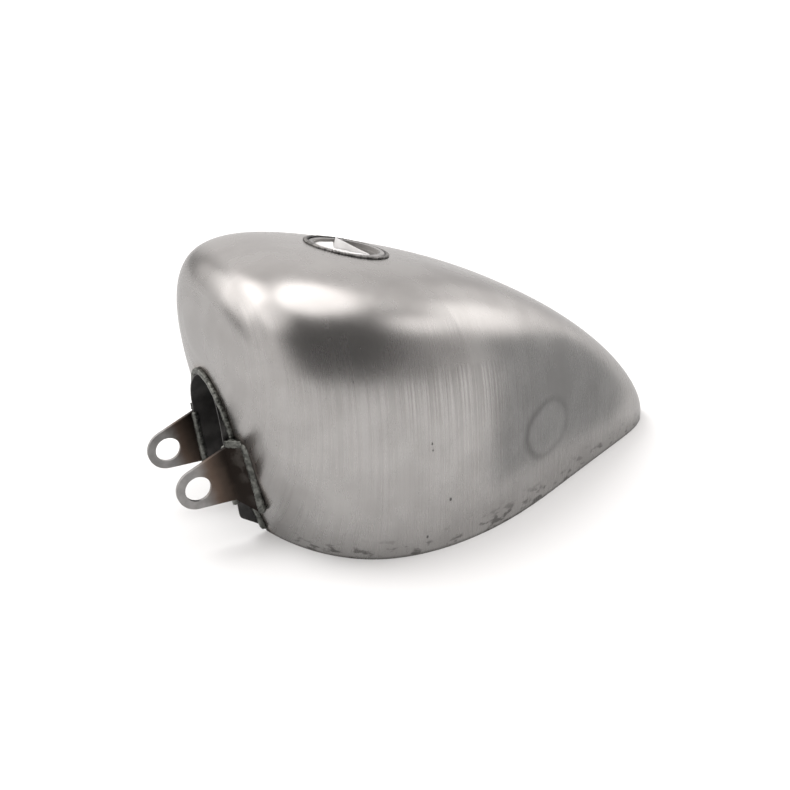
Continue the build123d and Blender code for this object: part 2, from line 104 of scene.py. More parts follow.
def guide(points, ends):
    """The cubic curve through the points with the two end directions, against normalised length."""
    points = np.array(points, float)
    span = np.linalg.norm(np.diff(points, axis=0), axis=1)
    count = len(points)
    system = np.eye(count)
    slopes = np.zeros((count, 2))
    slopes[0] = np.array(ends[0]) / np.linalg.norm(ends[0])
    slopes[-1] = np.array(ends[1]) / np.linalg.norm(ends[1])
    for i in range(1, count - 1):
        before, after = span[i - 1], span[i]
        system[i, i - 1:i + 2] = 1 / before, 2 / before + 2 / after, 1 / after
        slopes[i] = 3 * ((points[i] - points[i - 1]) / before**2 + (points[i + 1] - points[i]) / after**2)
    slopes = np.linalg.solve(system, slopes)
    curve = []
    for i in range(count - 1):
        t = np.linspace(0, 1, GUIDE_SAMPLES, endpoint=i == count - 2)[:, None]
        curve.append((2 * t**3 - 3 * t**2 + 1) * points[i] + (3 * t**2 - 2 * t**3) * points[i + 1]
                     + span[i] * ((t**3 - 2 * t**2 + t) * slopes[i] + (t**3 - t**2) * slopes[i + 1]))
    curve = np.vstack(curve)
    length = np.r_[0, np.cumsum(np.linalg.norm(np.diff(curve, axis=0), axis=1))]
    return length / length[-1], curve


PLAN_GUIDE = guide(PLAN, PLAN_ENDS)
RIDGE_GUIDE = guide(RIDGE, RIDGE_ENDS)


def along(curve, u):
    """The two coordinates of a guide curve at u."""
    return np.interp(u, curve[0], curve[1][:, 0]), np.interp(u, curve[0], curve[1][:, 1])


def skin_point(u, angle):
    """The outer face at u along the guides and at an angle from the lower edge to the crown."""
    side = np.interp(u, (0, 0.5, 1), SIDE_POWER)
    crown = np.interp(u, (0, 0.5, 1), CROWN_POWER)
    y, z = np.abs(np.cos(angle)), np.abs(np.sin(angle))
    reach = np.ones_like(y)
    for step in range(ROOT_STEPS):
        error = (reach * y) ** side + (reach * z) ** crown - 1
        slope = (side * (reach * y) ** side + crown * (reach * z) ** crown) / reach
        reach = reach - error / slope
    y, z = reach * y, reach * z
    base_x, half_width = along(PLAN_GUIDE, u)
    top_x, height = along(RIDGE_GUIDE, u)
    return np.stack([base_x + (top_x - base_x) * z,
                     half_width * y * (1 + TUCK * 4 * z * (1 - z)),
                     BASE_Z + height * z], -1)


def skin_normal(u, angle):
    """The unit normal, from small steps along the guides and round the section."""
    du, turn = 0.002, 0.004
    along_u = skin_point(u + du, angle) - skin_point(u - du, angle)
    up = np.minimum(angle + turn, math.pi / 2)
    down = np.maximum(angle - turn, 0)
    along_arch = skin_point(u, up) - skin_point(u, down)
    normal = np.cross(along_u, along_arch)
    normal /= np.linalg.norm(normal, axis=-1, keepdims=True)
    normal[angle >= math.pi / 2 - 1e-9, 1] = 0
    return normal / np.linalg.norm(normal, axis=-1, keepdims=True)


def seam_angle(u):
    """Where the side shell ends and the crown's weld seam starts."""
    low, high = np.full_like(u, math.pi / 4), np.full_like(u, math.pi / 2)
    for step in range(SEAM_HALVINGS):
        middle = (low + high) / 2
        inside = skin_point(u, middle)[..., 1] > SEAM / 2
        low, high = np.where(inside, middle, low), np.where(inside, high, middle)
    return low


def tunnel_gap(point):
    """Distance outside the tunnel's outline, large where the tunnel doesn't meet the skin."""
    rise = np.maximum(point[..., 2] - BASE_Z - TUNNEL_SHOULDER, 0)
    gap = np.hypot(point[..., 1], rise) - TUNNEL_HALF
    return np.where(point[..., 0] > TUNNEL_REACH, gap, FAR)


def neck_gap(point):
    """Distance outside the filler neck, large where the neck doesn't meet the skin."""
    offset = point - FILLER
    gap = np.linalg.norm(np.cross(offset, FILLER_AXIS), axis=-1) - NECK_R
    return np.where(point[..., 2] > FILLER_LEVEL, gap, FAR)


# ---- Mesh building ------------------------------------------------------------------------------
def mesh_data(name, mesh):
    """Turns a bmesh into mesh data, and frees it."""
    data = bpy.data.meshes.new(name)
    mesh.to_mesh(data)
    mesh.free()
    return data


def placed(name, data):
    """A new object in the scene."""
    thing = bpy.data.objects.new(name, data)
    bpy.context.scene.collection.objects.link(thing)
    return thing


def clip(place, faces, gap):
    """Cuts the faces along gap = 0 and keeps the side where gap is positive. place holds (u, angle)."""
    value = gap(skin_point(place[:, 0], place[:, 1]))
    crossing = {}
    for face in faces:
        for a, b in zip(face, face[1:] + face[:1]):
            if (value[a] >= 0) != (value[b] >= 0):
                crossing.setdefault((min(a, b), max(a, b)), len(place) + len(crossing))
    pairs = np.array(list(crossing))
    keep = np.where(value[pairs[:, 0]] >= 0, pairs[:, 0], pairs[:, 1])
    lose = pairs.sum(1) - keep
    start, end = place[keep], place[lose]
    low, high = np.zeros(len(pairs)), np.ones(len(pairs))
    for step in range(CUT_HALVINGS):
        t = (low + high) / 2
        middle = start + (end - start) * t[:, None]
        inside = gap(skin_point(middle[:, 0], middle[:, 1])) >= 0
        low, high = np.where(inside, t, low), np.where(inside, high, t)
    place = np.vstack([place, middle])
    kept = []
    for face in faces:
        inside = [value[i] >= 0 for i in face]
        if all(inside):
            kept.append(face)
        elif any(inside):
            cut = []
            for i, (a, b) in enumerate(zip(face, face[1:] + face[:1])):
                if inside[i]:
                    cut.append(a)
                if (min(a, b), max(a, b)) in crossing:
                    cut.append(crossing[min(a, b), max(a, b)])
            kept.append(cut)
    return place, kept


def skin_patch(low, high, columns):
    """A grid of the left-hand skin between two angles, clear of the tunnel and the neck."""
    t = np.linspace(0, 1, ROWS + 1)
    crowded = CROWDING * (1 - np.cos(math.pi * t)) + (1 - 2 * CROWDING) * t
    u = NOSE + (TAIL - NOSE) * crowded
    share = np.linspace(0, 1, columns + 1)
    angle = low(u)[:, None] + (high(u) - low(u))[:, None] * share
    place = np.stack([np.repeat(u, columns + 1), angle.ravel()], -1)
    faces = []
    for i in range(ROWS):
        for j in range(columns):
            corner = i * (columns + 1) + j
            faces.append([corner, corner + columns + 1, corner + columns + 2, corner + 1])
    for gap in (tunnel_gap, neck_gap):
        place, faces = clip(place, faces, gap)
    used = sorted({i for face in faces for i in face})
    renumber = {old: new for new, old in enumerate(used)}
    place = place[used]
    faces = [[renumber[i] for i in face] for face in faces]
    return skin_point(place[:, 0], place[:, 1]), skin_normal(place[:, 0], place[:, 1]), faces


def mirrored(point, normal, faces):
    """The same patch on the right-hand side."""
    flip = np.array((1, -1, 1))
    return point * flip, normal * flip, [face[::-1] for face in faces]


def sheet_object(name, patches):
    """A closed sheet of steel from patches of its outer face, with exact normals on both faces."""
    mesh = bmesh.new()
    normal_layer = mesh.verts.layers.float_vector.new("outward")
    for point, normal, faces in patches:
        corners = [mesh.verts.new(p * MM) for p in point]
        for corner, direction in zip(corners, normal):
            corner[normal_layer] = direction
        for face in faces:
            mesh.faces.new([corners[i] for i in face])
    bmesh.ops.remove_doubles(mesh, verts=mesh.verts, dist=MERGE * MM)
    bmesh.ops.dissolve_degenerate(mesh, edges=mesh.edges, dist=SLIVER * MM)
    outer = list(mesh.faces)
    border = [edge for edge in mesh.edges if edge.is_boundary]
    inner_of = {}
    for corner in list(mesh.verts):
        inner = mesh.verts.new(corner.co - corner[normal_layer] * SHEET * MM)
        if corner.co.z < (BASE_Z + LEVEL) * MM:
            inner.co.z = corner.co.z
        inner[normal_layer] = -corner[normal_layer]
        inner_of[corner] = inner
    for face in outer:
        mesh.faces.new([inner_of[corner] for corner in reversed(face.verts)])
    rim = []
    for edge in border:
        loop = edge.link_loops[0]
        a, b = loop.vert, loop.link_loop_next.vert
        rim.append(mesh.faces.new([b, a, inner_of[a], inner_of[b]]))
    mesh.faces.index_update()
    rim_faces = {face.index for face in rim}
    data = mesh_data(name, mesh)
    outward = np.array([v.vector[:] for v in data.attributes["outward"].data])
    loop_normals = []
    for polygon in data.polygons:
        polygon.use_smooth = True
        for i in polygon.vertices:
            if polygon.index in rim_faces:
                loop_normals.append(polygon.normal[:])
            else:
                loop_normals.append(outward[i])
    data.normals_split_custom_set(loop_normals)
    return placed(name, data)


def apply_modifiers(piece):
    """Works the piece's modifiers into its mesh."""
    bpy.context.view_layer.update()
    graph = bpy.context.evaluated_depsgraph_get()
    mesh = bpy.data.meshes.new_from_object(piece.evaluated_get(graph))
    piece.modifiers.clear()
    piece.data = mesh


def edge_angle(u):
    """The lower edge, for every u."""
    return np.zeros_like(u)


def crown_angle(u):
    """The centre line of the crown, for every u."""
    return np.full_like(u, math.pi / 2)


side_patch = skin_patch(edge_angle, seam_angle, COLUMNS)
seam_patch = skin_patch(seam_angle, crown_angle, 1)
left_skin = sheet_object("left_skin", [side_patch])
right_skin = sheet_object("right_skin", [mirrored(*side_patch)])
crown_seam = sheet_object("crown_seam", [seam_patch, mirrored(*seam_patch)])
skins = {"left_shell": left_skin, "right_shell": right_skin, "shell_seam_weld": crown_seam}
for node, piece in skins.items():
    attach(piece, "tank")
    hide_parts(node)


# ---- Weld beads -----------------------------------------------------------------------------------
EAR_INSIDE = 33.6
EAR_OUTSIDE = 36.2
BEND_BOTTOM = (-28.0, -15.9)
BEND_TOP = (-22.6, 27.4)
FLANGE_OUTER = 47.6
FLANGE_TOP = 29.5
FLANGE_BOTTOM = -23.5
FLANGE_BEAD = 2.5               # the bead stands this far outside the flange's edge
BUNG = (-318.0, 48.0)
BUNG_BEAD_R = 12.864
RIPPLE = 0.28                   # height and pitch of the ripples along a bead
PITCH = 2.3
SWELL = 0.3                     # a bead stands this much prouder than the CAD's
MOUTH_SWELL = 0.8               # the bead round the tunnel's mouth is fatter
LEFT_FLANGE_BEAD_R = 2.7
RIGHT_FLANGE_BEAD_R = 2.0
LIP_BEAD_R = 2.4
FINE_VOXEL = 0.45
COARSE_VOXEL = 0.6              # for the long beads underneath
SMOOTHING = 4                   # passes over a bead before its ripples are added


def bend_x(z):
    """The ear's bend line in side view."""
    share = (z - BEND_BOTTOM[1]) / (BEND_TOP[1] - BEND_BOTTOM[1])
    return BEND_BOTTOM[0] + (BEND_TOP[0] - BEND_BOTTOM[0]) * share


def round_filler(point):
    """Distance along the bead round the neck."""
    offset = point - FILLER
    return NECK_R * np.arctan2(offset[:, 1], offset @ FILLER_FORWARD)


def round_tunnel(point):
    """Distance up one side of the tunnel's mouth and over its round top."""
    height = point[:, 2] - BASE_Z
    turn = np.arctan2(np.maximum(height - TUNNEL_SHOULDER, 0), np.abs(point[:, 1]))
    return np.minimum(height, TUNNEL_SHOULDER) + TUNNEL_HALF * turn


def round_flange(point):
    """Distance outwards and down, as the beads of an ear run."""
    return np.abs(point[:, 1]) - point[:, 2]


def round_bung(point):
    """Distance along the bead round the tap bung."""
    return BUNG_BEAD_R * np.arctan2(point[:, 1] - BUNG[1], point[:, 0] - BUNG[0])


def along_base(point):
    """Distance outwards and back, as the beads of the underside run."""
    return np.abs(point[:, 1]) - point[:, 0]


def flange_beads(side):
    """Centres and radii of the weld puddles over the flange's top and outer edges."""
    puddles = []
    radius = LEFT_FLANGE_BEAD_R if side > 0 else RIGHT_FLANGE_BEAD_R
    for y in np.arange(EAR_OUTSIDE + 1.5, FLANGE_OUTER, PITCH / 2):
        x = bend_x(FLANGE_TOP) - (y - EAR_OUTSIDE) - 2.0
        puddles.append(((x, side * y, FLANGE_TOP + 1.7), radius))
    for z in np.arange(FLANGE_BOTTOM + 2.0, FLANGE_TOP + 1.5, PITCH / 2):
        climb = (z - FLANGE_BOTTOM) / (FLANGE_TOP - FLANGE_BOTTOM)
        x = bend_x(z) - (FLANGE_OUTER - EAR_OUTSIDE) - 1.4 + 2.6 * climb
        puddles.append(((x, side * (FLANGE_OUTER + 1.4), z), radius * (1 + 0.25 * climb)))
    return puddles


def lip_beads(side):
    """Centres and radii of the weld puddles between the ear and the tunnel's lip."""
    puddles = []
    for z in np.arange(BEND_BOTTOM[1] - 3, BEND_TOP[1] - 2, PITCH / 2):
        puddles.append(((bend_x(z) + 0.4, side * (EAR_INSIDE - 1.2), z), LIP_BEAD_R))
    return puddles


def bead(node, run, puddles=(), voxel=FINE_VOXEL, swell=SWELL):
    """A rippled bead in place of the CAD's plain one. run gives the distance along the bead."""
    mesh = bmesh.new()
    mesh.from_mesh(frame["nodes"][node].data)
    for place, radius in puddles:
        grown = radius * (1 + 0.10 * noise.noise(Vector(place) * 0.35))
        ball = bmesh.ops.create_icosphere(mesh, subdivisions=2, radius=grown * MM)
        bmesh.ops.translate(mesh, verts=ball["verts"], vec=Vector(place) * MM)
    name = node + "_bead"
    piece = placed(name, mesh_data(name, mesh))
    remesh = piece.modifiers.new("remesh", "REMESH")
    remesh.mode = "VOXEL"
    remesh.voxel_size = voxel * MM
    smooth = piece.modifiers.new("smooth", "SMOOTH")
    smooth.factor = 0.5
    smooth.iterations = SMOOTHING
    apply_modifiers(piece)
    count = len(piece.data.vertices)
    place = np.empty(count * 3)
    piece.data.vertices.foreach_get("co", place)
    place = place.reshape(-1, 3)
    outward = np.array([v.vector[:] for v in piece.data.vertex_normals])
    points = place / MM
    broad = np.array([noise.noise(Vector(p) * 0.18) for p in points])
    small = np.array([noise.noise(Vector(p) * 0.7) for p in points])
    phase = np.abs(np.sin(math.pi * (run(points) + 1.2 * broad) / PITCH))
    rise = swell + RIPPLE * (phase - 0.6) + 0.22 * small + 0.2 * broad
    place += outward * rise[:, None] * MM
    place[:, 2] = np.maximum(place[:, 2], BASE_Z * MM)
    piece.data.vertices.foreach_set("co", place.ravel())
    for polygon in piece.data.polygons:
        polygon.use_smooth = True
    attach(piece, "tank")
    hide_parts(node)
    return piece


beads = [
    bead("filler_weld", round_filler),
    bead("tunnel_front_weld", round_tunnel, swell=MOUTH_SWELL),
    bead("tap_bung_weld", round_bung),
    bead("pan_seam_weld", along_base),
    bead("rear_bar_weld", along_base),
]
for side, name in ((1, "left"), (-1, "right")):
    beads.append(bead(name + "_ear_flange_weld", round_flange, flange_beads(side)))
    beads.append(bead(name + "_ear_lip_weld", round_flange, lip_beads(side)))
    beads.append(bead(name + "_bottom_weld", along_base, voxel=COARSE_VOXEL, swell=0.0))
    beads.append(bead(name + "_tunnel_weld", along_base, voxel=COARSE_VOXEL, swell=0.0))


# ---- Paper seal -------------------------------------------------------------------------------------
SEAL_R = 23.5
SEAL_LEVEL = -1.5               # below the filler's datum point
PAPER = 0.3
FLAP_FOOT = np.array([(9.5, -1.5), (-12.5, 15.0)])    # the fold line, forward and left
FLAP_HEIGHT = 8.0
FLAP_GRID = (30, 10)            # cells along the fold and up the flap
TEAR_END = (-1.1, -23.47)       # where the tear meets the rim
RIM_POINTS = 90
PAPER_GRID = 1.2
SAG = 0.25


def in_neck(forward, left, up):
    """A point in the filler's own axes as a place in the part, in metres."""
    across = np.array((0, 1, 0))
    return Vector((FILLER + FILLER_FORWARD * forward + across * left + FILLER_AXIS * up) * MM)


def seal_disc(mesh):
    """The flat part of the seal, torn away in front of the fold, with a slight sag."""
    start = math.atan2(TEAR_END[1], TEAR_END[0])
    end = math.atan2(FLAP_FOOT[1][1], -math.sqrt(SEAL_R**2 - FLAP_FOOT[1][1] ** 2))
    outline = [(SEAL_R * math.cos(a), SEAL_R * math.sin(a)) for a in np.linspace(start, end, RIM_POINTS)]
    outline += [tuple(FLAP_FOOT[1]), tuple(FLAP_FOOT[0])]
    inner = []
    for x in np.arange(-SEAL_R, SEAL_R, PAPER_GRID):
        for y in np.arange(-SEAL_R, SEAL_R, PAPER_GRID):
            if math.hypot(x, y) < SEAL_R - PAPER_GRID / 2:
                inner.append((x, y))
    ring = [list(range(len(outline)))]
    flat = delaunay_2d_cdt([Vector(p) for p in outline + inner], [], ring, 1, 1e-5)
    corners = []
    for p in flat[0]:
        sag = SAG * noise.noise(Vector((p.x, p.y, 0)) * 0.09)
        corners.append(mesh.verts.new(in_neck(p.x, p.y, SEAL_LEVEL + sag)))
    for face in flat[2]:
        mesh.faces.new([corners[i] for i in face])


def seal_flap(mesh):
    """The loose flap, which stands up from the fold and bows a little."""
    fold = FLAP_FOOT[1] - FLAP_FOOT[0]
    beside = np.array((fold[1], -fold[0])) / np.linalg.norm(fold)
    columns, rows = FLAP_GRID
    grid = []
    for i in range(columns + 1):
        share = i / columns
        height = FLAP_HEIGHT * (1 - share) ** 0.9
        column = []
        for j in range(rows + 1):
            up = j / rows
            bow = 1.2 * math.sin(math.pi * share) * up - 0.8 * up**2
            foot = FLAP_FOOT[0] + fold * share + beside * bow
            column.append(mesh.verts.new(in_neck(foot[0], foot[1], SEAL_LEVEL + height * up)))
        grid.append(column)
    for left, right in zip(grid, grid[1:]):
        for j in range(rows):
            mesh.faces.new((left[j], right[j], right[j + 1], left[j + 1]))


def paper_seal():
    """The torn paper disc in the neck and its flap, as one sheet."""
    mesh = bmesh.new()
    seal_disc(mesh)
    seal_flap(mesh)
    bmesh.ops.remove_doubles(mesh, verts=mesh.verts, dist=0.01 * MM)
    bmesh.ops.recalc_face_normals(mesh, faces=mesh.faces)
    piece = placed("paper_seal", mesh_data("paper_seal", mesh))
    thick = piece.modifiers.new("thick", "SOLIDIFY")
    thick.thickness = PAPER * MM
    thick.offset = 0.0
    apply_modifiers(piece)
    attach(piece, "seal")
    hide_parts("dust_seal")
    return piece


seal = paper_seal()


# ---- Finishes -------------------------------------------------------------------------------------
class Nodes:
    """Builds a node tree; each helper returns the socket that carries its result."""

    def __init__(self, tree):
        self.tree = tree

    def add(self, kind, **inputs):
        node = self.tree.nodes.new("ShaderNode" + kind)
        for name, value in inputs.items():
            self.feed(node.inputs[name], value)
        return node

    def feed(self, socket, value):
        """Links another node's output to the socket, or sets a plain value."""
        if isinstance(value, bpy.types.NodeSocket):
            self.tree.links.new(value, socket)
        else:
            socket.default_value = value

    def calc(self, operation, *values):
        node = self.add("Math")
        node.operation = operation
        for socket, value in zip(node.inputs, values):
            self.feed(socket, value)
        return node.outputs[0]

    def vector(self, operation, *values):
        node = self.add("VectorMath")
        node.operation = operation
        for socket, value in zip(node.inputs, values):
            self.feed(socket, value)
        return node.outputs["Value" if operation in ("LENGTH", "DOT_PRODUCT") else "Vector"]

    def ramp(self, value, low, high, from_value=0.0, to_value=1.0):
        """A smooth step from one value to the other as the input goes from low to high."""
        limits = {"From Min": low, "From Max": high, "To Min": from_value, "To Max": to_value}
        node = self.add("MapRange", Value=value, **limits)
        node.interpolation_type = "SMOOTHSTEP"
        return node.outputs[0]

    def mix(self, amount, a, b):
        """Colour a where amount is 0, b where it is 1."""
        node = self.add("Mix")
        node.data_type = "RGBA"
        self.feed(node.inputs["Factor"], amount)
        self.feed(node.inputs[6], a)
        self.feed(node.inputs[7], b)
        return node.outputs[2]

    def cloud(self, place, size, detail=2.0, stretch=(1, 1, 1), turn=(0, 0, 0), seed=0.0):
        """Noise whose spots are about size metres across, stretched by the given factors."""
        mapping = self.add("Mapping", Vector=place)
        mapping.inputs["Rotation"].default_value = turn
        mapping.inputs["Scale"].default_value = [1 / (size * s) for s in stretch]
        mapping.inputs["Location"].default_value = (seed, seed * 1.7, seed * 2.3)
        node = self.add("TexNoise", Vector=mapping.outputs[0], Scale=1.0, Detail=detail)
        return node.outputs["Fac"]


class Finish(Nodes):
    """A material laid out in the part's own coordinates, in metres."""

    def __init__(self, name):
        self.material = bpy.data.materials.new(name)
        self.material.use_nodes = True
        super().__init__(self.material.node_tree)
        self.shader = self.tree.nodes["Principled BSDF"]
        self.place = self.add("TexCoord").outputs["Object"]
        split = self.add("SeparateXYZ", Vector=self.place)
        self.x, self.y, self.z = split.outputs

    def product(self, *values):
        """All of the values multiplied together."""
        result = values[0]
        for value in values[1:]:
            result = self.calc("MULTIPLY", result, value)
        return result

    def blot(self, amount, strength, shade, colour):
        """The shade with some of the colour laid over it where amount is above 0."""
        return self.mix(self.calc("MULTIPLY", amount, strength), shade, colour)

    def at_filler(self):
        """1 round the filler, 0 lower down."""
        return self.ramp(self.z, (FILLER_LEVEL - 10) * MM, (FILLER_LEVEL + 10) * MM)

    def from_filler(self):
        """Distance from the filler's axis."""
        offset = self.vector("SUBTRACT", self.place, tuple(FILLER * MM))
        return self.vector("LENGTH", self.vector("CROSS_PRODUCT", offset, tuple(FILLER_AXIS)))

    def dots(self, size, spacing, seed):
        """Round spots of about the given radius, one in each cell of the given spacing."""
        shifted = self.vector("ADD", self.place, (seed, seed, seed))
        node = self.add("TexVoronoi", Vector=shifted, Scale=1 / spacing)
        return self.ramp(node.outputs["Distance"], size / spacing, 0.3 * size / spacing)

    def done(self, colour, roughness, height, depth, metallic=1.0):
        """Feeds the shader, with height as a bump of the given depth in metres."""
        self.feed(self.shader.inputs["Base Color"], colour)
        self.feed(self.shader.inputs["Roughness"], roughness)
        self.feed(self.shader.inputs["Metallic"], metallic)
        bump = self.add("Bump", Height=height, Distance=depth, Strength=1.0)
        self.feed(self.shader.inputs["Normal"], bump.outputs[0])
        return self.material


def grey(value, warmth=0.0):
    """A grey, slightly warm if asked."""
    return (value * (1 + warmth), value, value * (1 - warmth), 1)


STAIN = (-264.0, 8.0)           # a ring-shaped stain on the left flank, x and z
STAIN_R = 26.0
STAIN_STROKE = 6.8              # half the width of its blurred outline
# dark chips on the left flank: x, z and radius
CHIPS = [(-141.5, 37.0, 1.0), (-142.0, 32.0, 0.8), (-157.3, -10.7, 1.4), (-138.5, -36.0, 1.2)]
SCUFF = (-265.0, -185.0)        # the lower edge is scuffed most between these
SCUFF_FADE = 15.0
BRUSH_SLOPE = 0.19              # the heavily brushed area starts below this slanted line
BRUSH_TOP = 119.4
BRUSH_FRONT = (-105.0, -130.0)  # it fades in and out between these
BRUSH_BACK = (-245.0, -222.0)


def brushing(f):
    """Upright strokes of the brush, -0.5 to 0.5, strongest on the middle of the flanks."""
    facing = f.add("NewGeometry").outputs["Normal"]
    upright = f.calc("ABSOLUTE", f.vector("DOT_PRODUCT", facing, (0, 0, 1)))
    lines = f.cloud(f.place, 0.0016, detail=2, stretch=(1, 400, 90))
    patches = f.ramp(f.cloud(f.place, 0.045, seed=3), 0.42, 0.62)
    depth = f.calc("SUBTRACT", f.calc("MULTIPLY_ADD", f.x, BRUSH_SLOPE, BRUSH_TOP * MM), f.z)
    middle = f.product(f.ramp(f.x, BRUSH_FRONT[0] * MM, BRUSH_FRONT[1] * MM),
                       f.ramp(f.x, BRUSH_BACK[0] * MM, BRUSH_BACK[1] * MM),
                       f.ramp(depth, 0.000, 0.004),
                       f.ramp(depth, 0.060, 0.025, 0.25, 1.0))
    streaky = f.calc("MAXIMUM", f.calc("MULTIPLY_ADD", patches, 0.35, 0.15), middle)
    return f.product(f.ramp(upright, 0.75, 0.35), streaky, f.ramp(lines, 0.35, 0.65, -0.5, 0.5))


def edge_smears(f):
    """Patches of dark smears and scuffs towards the lower edge."""
    low = f.ramp(f.z, (BASE_Z + 22) * MM, (BASE_Z + 5) * MM)
    scuffed = f.product(f.ramp(f.x, SCUFF[0] * MM, (SCUFF[0] + SCUFF_FADE) * MM),
                        f.ramp(f.x, SCUFF[1] * MM, (SCUFF[1] - SCUFF_FADE) * MM))
    smear = f.cloud(f.place, 0.005, detail=6, stretch=(2.4, 2.4, 1.0), seed=11)
    return f.product(low, f.ramp(f.calc("MULTIPLY_ADD", scuffed, 0.09, smear), 0.55, 0.66))


def ring_stain(f, left):
    """The outline and the inside of a faint ring, left by something that stood on the left flank."""
    offset = f.vector("SUBTRACT", f.place, (STAIN[0] * MM, 0, STAIN[1] * MM))
    wander = f.calc("MULTIPLY_ADD", f.cloud(f.place, 0.015, seed=73), 0.006, -0.003)
    from_centre = f.vector("LENGTH", f.vector("MULTIPLY", offset, (1, 0, 1.25)))
    from_centre = f.calc("ADD", from_centre, wander)
    from_ring = f.calc("ABSOLUTE", f.calc("SUBTRACT", from_centre, STAIN_R * MM))
    heavier = f.ramp(f.x, (STAIN[0] - 14) * MM, (STAIN[0] + 20) * MM, 0.45, 1.0)
    ring = f.product(f.ramp(from_ring, STAIN_STROKE * MM, 0.0), heavier, left)
    inside = f.product(f.ramp(from_centre, STAIN_R * MM, (STAIN_R - 4) * MM), left)
    return ring, inside


def pitting(f, left):
    """Small dark pits in patches, and a few chips on the left flank."""
    patches = f.ramp(f.cloud(f.place, 0.05, seed=13), 0.45, 0.6)
    pits = f.product(f.dots(0.0007, 0.022, 0.31), patches)
    for x, z, radius in CHIPS:
        offset = f.vector("SUBTRACT", f.place, (x * MM, 0, z * MM))
        across = f.vector("LENGTH", f.vector("MULTIPLY", offset, (1, 0, 0.7)))
        chip = f.product(f.ramp(across, radius * MM, 0.4 * radius * MM), left)
        pits = f.calc("MAXIMUM", pits, chip)
    return pits


def scratching(f):
    """Short fine scratches in patches."""
    lines = f.cloud(f.place, 0.0011, detail=1, stretch=(14, 0.6, 1.2), turn=(0.3, 0.25, 0.5), seed=17)
    patches = f.ramp(f.cloud(f.place, 0.03, seed=19), 0.55, 0.66)
    return f.product(f.ramp(lines, 0.72, 0.80), patches)


def from_front_welds(f):
    """Distance from the welds of the tunnel's mouth and the ear flanges, with a wandering edge."""
    rise = f.calc("MAXIMUM", f.calc("SUBTRACT", f.z, (BASE_Z + TUNNEL_SHOULDER) * MM), 0.0)
    across = f.add("CombineXYZ", X=f.y, Y=rise).outputs[0]
    from_tunnel = f.calc("SUBTRACT", f.vector("LENGTH", across), TUNNEL_HALF * MM)
    side = f.calc("MAXIMUM", f.calc("SUBTRACT", f.calc("ABSOLUTE", f.y), FLANGE_OUTER * MM), 0.0)
    above = f.calc("MAXIMUM", f.calc("SUBTRACT", f.z, FLANGE_TOP * MM), 0.0)
    from_flange = f.vector("LENGTH", f.add("CombineXYZ", X=side, Y=above).outputs[0])
    # the stain of a flange fades out below its lower corner
    fading = f.ramp(f.z, (FLANGE_BOTTOM + 14) * MM, (FLANGE_BOTTOM - 4) * MM, -FLANGE_BEAD * MM, 0.010)
    from_flange = f.calc("ADD", from_flange, fading)
    wander = f.calc("MULTIPLY_ADD", f.cloud(f.place, 0.02, seed=23), 0.008, -0.004)
    return f.calc("ADD", f.calc("MINIMUM", from_tunnel, from_flange), wander)


def pressed_steel():
    """Bare pressed sheet: satin, brushed upright on the flanks, scuffed along its lower edge."""
    f = Finish("pressed_steel")
    mottle = f.cloud(f.place, 0.03, detail=5, seed=7)
    fine = f.cloud(f.place, 0.0012, detail=3, seed=9)
    left = f.ramp(f.y, 0.0, 0.01)
    stroke = brushing(f)
    ring, inside = ring_stain(f, left)
    pits = pitting(f, left)
    scratches = scratching(f)
    edge = f.ramp(f.z, (BASE_Z + 3) * MM, BASE_Z * MM)
    from_weld = from_front_welds(f)
    front = f.ramp(f.x, -0.075, -0.06)
    brown = f.product(f.ramp(from_weld, 0.011, 0.003), front)
    burnt = f.product(f.ramp(from_weld, 0.0065, 0.0025), front)
    round_neck = f.ramp(f.from_filler(), (NECK_R + 4) * MM, (NECK_R + 2) * MM)
    shade = f.mix(f.ramp(mottle, 0.3, 0.7), grey(0.275, 0.03), grey(0.325, 0.025))
    shade = f.mix(f.calc("MULTIPLY_ADD", stroke, 0.30, 0.15), shade, grey(0.50, 0.02))
    shade = f.blot(edge_smears(f), 0.75, shade, grey(0.09, 0.04))
    shade = f.blot(edge, 0.7, shade, grey(0.09, 0.05))
    shade = f.blot(ring, 0.46, shade, grey(0.13, 0.03))
    shade = f.blot(inside, 0.18, shade, grey(0.50, 0.02))
    shade = f.blot(pits, 0.80, shade, grey(0.05))
    shade = f.blot(scratches, 0.6, shade, grey(0.12))
    shade = f.blot(brown, 0.55, shade, (0.24, 0.195, 0.165, 1))
    shade = f.blot(burnt, 0.88, shade, (0.034, 0.030, 0.027, 1))
    shade = f.blot(f.product(round_neck, f.at_filler()), 0.45, shade, (0.16, 0.155, 0.145, 1))
    rough = f.calc("MULTIPLY_ADD", mottle, 0.08, 0.23)
    rough = f.calc("ADD", rough, f.product(stroke, -0.08))
    rough = f.calc("ADD", rough, f.product(f.calc("ADD", burnt, pits), 0.25))
    height = f.calc("ADD", f.product(stroke, 0.4), f.product(fine, 0.3))
    height = f.calc("SUBTRACT", height, f.product(f.calc("ADD", pits, scratches), 0.4))
    f.feed(f.shader.inputs["Specular Tint"], grey(0.72))
    return f.done(shade, rough, height, 0.00003)


def plate_steel():
    """Dull rolled plate with dark scale."""
    f = Finish("plate_steel")
    mottle = f.cloud(f.place, 0.015, detail=6, seed=29)
    fine = f.cloud(f.place, 0.001, detail=4, seed=31)
    shade = f.mix(f.ramp(mottle, 0.35, 0.65), grey(0.045, 0.02), grey(0.085, 0.03))
    rough = f.calc("MULTIPLY_ADD", fine, 0.25, 0.38)
    return f.done(shade, rough, fine, 0.00006)


